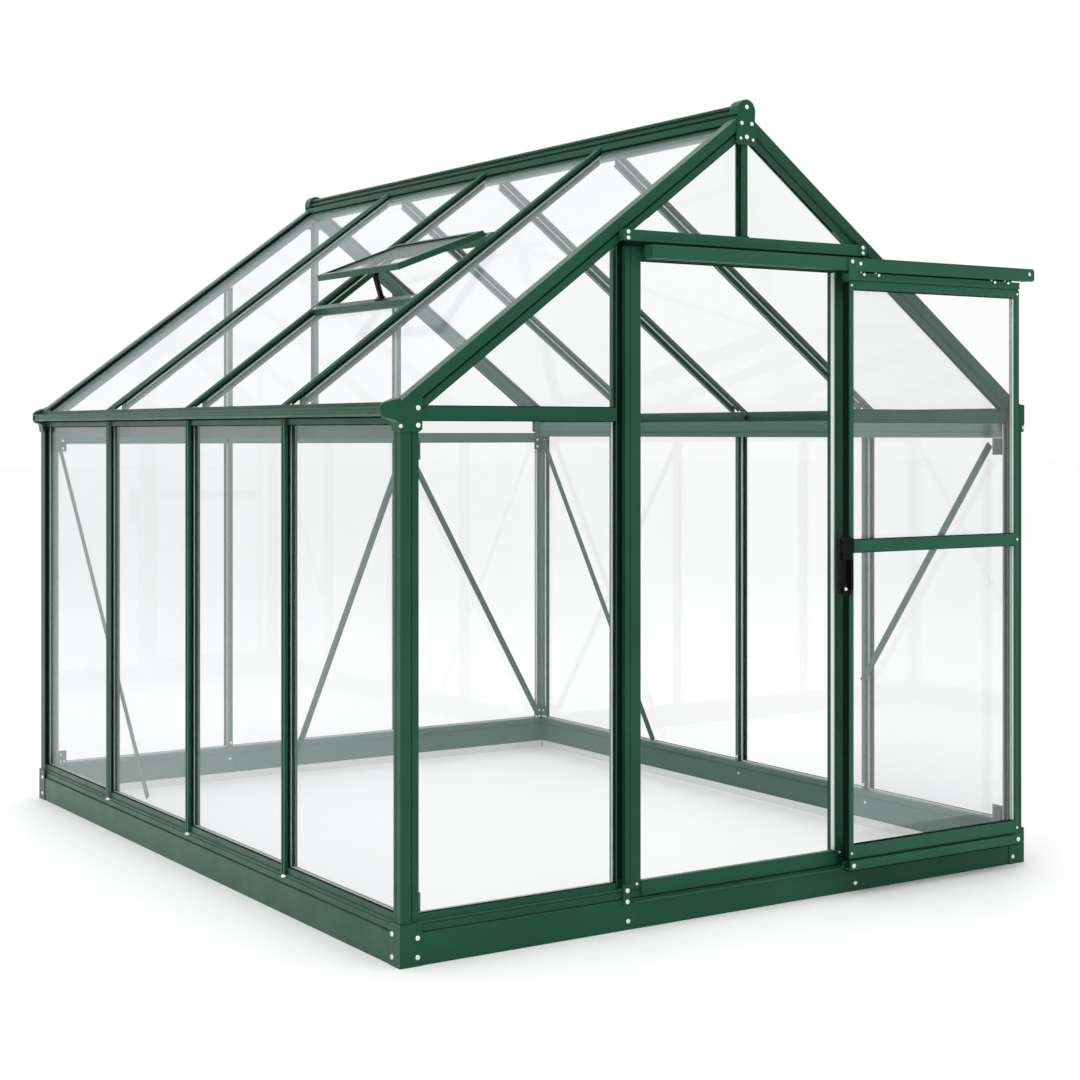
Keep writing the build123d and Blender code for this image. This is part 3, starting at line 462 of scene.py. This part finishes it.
# black strip under the canopy rail: painted shadow in the gap between it and the head rail
strip(gask_and_shade, (-372.0, 0, 1612.0), (372.0, 0, 1612.0), Z, Y, -10.4, 0.3, -13.6, 4.8, 0.8)
# black strip under the front lip of the door guide: painted shadow line
strip(gask_and_shade, (298.0, -46.0, 66.0), (905.0, -46.0, 66.0), Z, Y, -3.0, 0.4, 3.0, 30.0, 0.8)
strip(gask_and_shade, (-8.5, 1.2, 1639.0), (8.5, 1.2, 1639.0), Z, Y, 0.0, 4.4, 0.0, 4.0, 0.8)
# end plugs where the roof bars stand on the gutter
for s in sgn:
    for y in BAR_Y:
        strip(gask_and_shade, (s * 960.0, y - 8.0, 1217.0), (s * 960.0, y + 8.0, 1217.0), X * s, Z, 4.0, 8.6, -12.0, 6.0, 0.8)
# pale strips along the inside foot of the plinth, in the same pale colour
seat = Piece()
for s in sgn:
    strip(seat, (s * (P - 28), YF + 30, 0), (s * (P - 28), YR - 30, 0), Z, X * -s, 0.0, 24.0, -1.5, 2.0, 0.8)
for yf, q in ((YF + 28, 1), (YR - 28, -1)):
    strip(seat, (-(P - 32), yf, 0), (P - 32, yf, 0), Z, Y * q, 0.0, 24.0, -1.5, 2.0, 0.8)
seat.build("plinth_ground_strips", PALE_HIGHLIGHT, "house", "pale_seal")
# black glazing gaskets together with the painted shadow strips
gask_and_shade.build("glazing_and_shade_strips", BLACK_AND_SHADE, "house", "black_plastic")
inn.build("inner_glazing_strips", PALE_HIGHLIGHT, "house", "pale_seal")

# ridge strips where the slopes meet the beam
rs = Piece()
for s in sgn:
    for k in range(4):
        ys = [YF + POST_D] + BAR_Y + [YR - POST_D]
        a, b = ys[k] + (1 if k == 0 else 11), ys[k + 1] - (1 if k == 3 else 11)
        strip(rs, (s * 27, a, roof_z(-27, -10)), (s * 27, b, roof_z(-27, -10)), slope[s], nrm[s], -3.2, 0.6, 0.0, 3.6)
rs.build("ridge_strips", BLACK_AND_SHADE, "house", "black_plastic")

# ------------------------------------------------------------------ doorway seals
seal = Piece()
# jamb seals painted pale: a painted highlight along the doorway edges
strip(seal, (DOOR_X1, 0, SILL_TOP), (DOOR_X1, 0, HEAD_LOW - 1), X, Y, -4.0, 0.2, 8.0, 20.0, 1.2)
strip(seal, (DOOR_X0, 0, SILL_TOP), (DOOR_X0, 0, HEAD_LOW - 1), X, Y, -0.2, 2.4, 14.0, 22.0, 0.8)
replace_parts(seal.build("doorway_seals", PALE_HIGHLIGHT, "house", "pale_seal"), "door_jamb_seals")
brush = Piece()
for x in (DOOR_X0 - 52.0, DOOR_X1 + 52.0):
    # pile strip standing in the jamb channel
    for k in range(3):
        strip(brush, (x + (k - 1) * 4.6, YF, 118), (x + (k - 1) * 4.6, YF, 1608), X, Y, -2.0, 2.0, 12.0 + k, 22.5, 0.4)
strip(brush, (DOOR_X0, 1.0, HEAD_LOW), (DOOR_X1, 1.0, HEAD_LOW), Z, Y, -1.8, 0.2, 8.0, 16.0, 0.6)
brush.build("doorway_pile_strips", BLACK_AND_SHADE, "house", "black_plastic")

# ------------------------------------------------------------------ screws
sc = Piece()
F, B, LF, RT = Y * -1, Y, X * -1, X
# corner plates of the plinth
for s in sgn:
    for y, o in ((0.0, F), (L, B)):
        for z in (20.0, 62.0):
            screw(sc, (s * (W / 2 - 44), y, z), o, 6.0)
    for y, q in ((34.0, 1), (L - 34.0, -1)):
        for z in (20.0, 70.0):
            screw(sc, (s * W / 2, y, z), X * s, 6.0)
    # feet of the wall bars, through the plinth
    for y in BAR_Y:
        screw(sc, (s * (P - 6.0), y, 89.0), X * s, 6.0, 8.0)
for x in (-355.0, 355.0):
    screw(sc, (x, 2.0, 20.5), F, 6.0)
    screw(sc, (x, L - 2.0, 20.5), B, 6.0)
for x in REAR_X:
    screw(sc, (x, YR - 6.0, 89.0), B, 6.0, 8.0)
# jamb feet
for z in (67.0, 93.0):
    screw(sc, (DOOR_X0 - 43.0, -1.0, z), F, 6.0)
for x in (DOOR_X0 - 12.0, DOOR_X1 + 12.0):
    screw(sc, (x, YF, 104.0), F, 3.4)
# gutter end caps
for s in sgn:
    for y, o in ((1.0, F), (L - 1.0, B)):
        screw(sc, (s * (P - 42), y, 1218.0), o, 6.0)
        screw(sc, (s * (P - 42), y, 1180.0), o, 6.0)
        screw(sc, (s * (P + 1), y, 1178.0), o, 4.6)
# ridge end plates
for y, o in ((0.0, F), (L, B)):
    screw(sc, (0.0, y, 1958.0), o, 5.8)
    screw(sc, (-15.5, y, 1918.0), o, 5.4)
    screw(sc, (15.5, y, 1918.0), o, 5.4)
    screw(sc, (0.0, y, 1885.0), o, 6.2)
    screw(sc, (-18.5, y, 1881.0), o, 4.0)
    screw(sc, (19.5, y, 1879.0), o, 4.0)
# canopy rail ends
for s in sgn:
    screw(sc, (s * 366.0, -15.0, 1618.5), F, 5.2)
    screw(sc, (s * 366.0, -15.0, 1632.5), F, 5.2)
# track cover
for x, y, z in ((297.0, -52.0, 1592.0), (326.0, -50.0, 1588.0), (932.0, -50.0, 1588.0)):
    screw(sc, (x, y, z), F, 5.0)
screw(sc, (307.0, -46.0, 78.0), F, 6.0)
screw(sc, (893.0, -46.0, 78.0), F, 6.0)
# inner corner brackets and braces
for s in sgn:
    for y0, q in ((YF + BAR_D + 3, 1), (YR - BAR_D - 3, -1)):
        for z, dx in ((116.0, 14.0), (138.0, 14.0), (116.0, 27.0)):
            screw(sc, (s * (P - BAR_D - dx), y0, z), Y * q, 4.6)
            screw(sc, (s * (P - BAR_D - 3), y0 + q * (dx - 2), z), X * -s, 4.6)
        for z in (1114.0, 1138.0):
            screw(sc, (s * (P - BAR_D - 22), y0, z), Y * q, 4.6)
            screw(sc, (s * (P - BAR_D - 3), y0 + q * 20, z), X * -s, 4.6)
    for y in BAR_Y:
        screw(sc, (s * (P - BAR_D), y, 1170.0), X * -s, 4.6)
        screw(sc, (s * (P - BAR_D), y, 124.0), X * -s, 4.6)
        screw(sc, (s * (P + 2 - 30), y, 70.0), X * -s, 4.6)
for x in REAR_X:
    screw(sc, (x, YR - BAR_D, 124.0), F, 4.6)
    screw(sc, (x, YR - 28, 70.0), F, 4.6)
    screw(sc, (x, YR - BAR_D, 1190.0), F, 4.6)
# roof vent rail ends
for x, up in ((VENT_LO, -1), (VENT_HI, 1)):
    for y in (BAR_Y[0] + 22, BAR_Y[1] - 22):
        if up < 0:
            screw(sc, (x - 8 * CP, y, roof_z(x) - 8 * SP), nrm[-1], 3.4)
sc.build("house_screws", STEEL, "house", "steel_fixings")

# ------------------------------------------------------------------ door pieces
ds = Piece()
gy0, gy1 = -32.0, -28.0
# pale strips round the door glass: a painted highlight along its edges
dw = Piece()
for (x, w) in ((LX0 + STILE, 1), (LX1 - STILE, -1)):
    for za, zb in ((127.0, 863.0), (894.0, 1524.0)):
        strip(dw, (x, gy0, za), (x, gy0, zb), X * w, F, -0.4, 4.6, 0.0, 2.6)
        strip(dw, (x, gy1, za), (x, gy1, zb), X * w, B, -0.4, 4.6, 0.0, 2.6)
for z, w in ((127.0, 1), (863.0, -1), (894.0, 1), (1524.0, -1)):
    strip(ds, (LX0 + STILE, gy0, z), (LX1 - STILE, gy0, z), Z * w, F, -0.6, 1.8, 0.0, 4.6)
    strip(ds, (LX0 + STILE, gy1, z), (LX1 - STILE, gy1, z), Z * w, B, -0.6, 1.8, 0.0, 4.6)
dw.build("door_glazing_strips", PALE_HIGHLIGHT, "door", "pale_seal")
# bumper strip on the leading edge and thin strip on the trailing edge
strip(ds, (LX0, LY0, LZ0 + 2), (LX0, LY0, LZ1 - 2), X, Y, -8.5, 0.4, 3.0, 19.0, 2.0)
strip(ds, (LX1, LY0, LZ0 + 2), (LX1, LY0, LZ1 - 2), X, Y, -0.4, 6.0, 4.0, 18.0, 1.6)
ds.build("door_edge_strips", BLACK_AND_SHADE, "door", "black_plastic")

dsc = Piece()
for x in (LX0 + 7, LX1 - 7):
    for z in (108.0, 879.0, 1534.0):
        screw(dsc, (x, LY0, z), F, 3.4)
        screw(dsc, (x, LY1, z), B, 3.4)
for x in (LX0 + 45.0, LX0 + 95.0, LX1 - 95.0, LX1 - 45.0):
    hexnut(dsc, (x, -43.0, 1562.0), F, 4.5, 3.0)
screw(dsc, (LX0 - 25, LY0 - 13, 774.0), F, 4.6)
dsc.build("door_screws", STEEL, "door", "steel_fixings")

# ------------------------------------------------------------------ vent pieces
vs_ = Piece()
vy0, vy1 = BAR_Y[0] + H2, BAR_Y[1] - H2
HX, HZ = VENT_HI - 6.5 * CP, roof_z(VENT_HI) - 6.5 * SP
ANG = PHI - math.radians(15.5)
dn = Vector((-math.cos(ANG), 0, -math.sin(ANG)))
up_ = Vector((-math.sin(ANG), 0, math.cos(ANG)))
VLEN = 277.0
SY0, SY1 = 606.0, 1058.0


def SP_(a, b, y):
    p = V(HX, y, HZ) + (dn * a + up_ * b) / 1000.0
    return p


for k, (ya, yb) in enumerate(((SY0 + 4, SY0 + 110), (SY1 - 110, SY1 - 4))):
    # hinge knuckles
    c = SP_(0.5, 9.5, ya)
    d = SP_(0.5, 9.5, yb)
    ring = [(3.6 * math.cos(t * math.pi / 6), 3.6 * math.sin(t * math.pi / 6)) for t in range(12)]
    ext(vs_, ring, c, d, dn, up_, True)
vs_.build("roof_vent_hinges", GREEN, "house", "frame_green")
vg = Piece()
for y, q in ((SY0 + 16, 1), (SY1 - 16, -1)):
    ext(vg, rounded(-0.6, 2.4, 0, 2.6), SP_(20, 16.0, y), SP_(VLEN - 16, 16.0, y), Y * q, up_)
for a, q in ((20, 1), (VLEN - 16, -1)):
    ext(vg, rounded(-0.6, 2.4, 0, 2.6), SP_(a, 16.0, SY0 + 16), SP_(a, 16.0, SY1 - 16), dn * q, up_)
vg.build("roof_vent_strips", BLACK_AND_SHADE, "house", "black_plastic")

# ------------------------------------------------------------------ stage
def floor():
    me = bpy.data.meshes.new("studio_floor")
    s = 60.0
    me.from_pydata([(-s, -s, 0), (s, -s, 0), (s, s, 0), (-s, s, 0)], [], [(0, 1, 2, 3)])
    m, nt, b = new_mat("studio_floor")
    c = coords(nt, (1, 1, 1))
    n = noise(nt, c, 0.6, 2.0, 0.5)
    r = ramp(nt, [(0.3, (0.975, 0.975, 0.975, 1)), (0.7, (0.99, 0.99, 0.99, 1))])
    nt.links.new(n.outputs["Fac"], r.inputs["Fac"])
    nt.links.new(r.outputs["Color"], b.inputs["Base Color"])
    b.inputs["Roughness"].default_value = 0.5
    b.inputs["Specular IOR Level"].default_value = 0.1
    me.materials.append(m)
    o = bpy.data.objects.new("studio_floor", me)
    bpy.context.scene.collection.objects.link(o)


floor()
wd = bpy.data.worlds.new("studio")
wd.use_nodes = True
wd.node_tree.nodes["Background"].inputs["Color"].default_value = (1.0, 1.0, 1.0, 1)
wd.node_tree.nodes["Background"].inputs["Strength"].default_value = 1.0
bpy.context.scene.world = wd


def area(name, loc, target, size, power, color=(1, 1, 1)):
    d = bpy.data.lights.new(name, "AREA")
    d.shape = "RECTANGLE"
    d.size, d.size_y = size
    d.energy = power
    d.color = color
    o = bpy.data.objects.new(name, d)
    o.location = loc
    o.rotation_euler = (Vector(target) - Vector(loc)).to_track_quat("-Z", "Y").to_euler()
    bpy.context.scene.collection.objects.link(o)
    return o


area("key", (-5.5, -3.0, 6.0), (0, 0, 0.8), (4.0, 4.0), 110)
area("top", (0.5, 0.5, 7.5), (0, 0, 0.0), (6.0, 6.0), 90)

cam = bpy.data.cameras.new("photo_camera")
cam.sensor_width = 36.0
cam.sensor_fit = "HORIZONTAL"
cam.lens = 1936.8 / 1080.0 * 36.0
cam.shift_y = -0.0990
cam.clip_end = 200.0
co = bpy.data.objects.new("photo_camera", cam)
co.location = V(-3005.2, -3680.5, 1162.8)
co.rotation_euler = Euler((math.radians(90.0), 0.0, math.radians(-33.14)))
bpy.context.scene.collection.objects.link(co)
bpy.context.scene.camera = co
bpy.context.scene.view_settings.view_transform = "Standard"
bpy.context.scene.view_settings.look = "None"
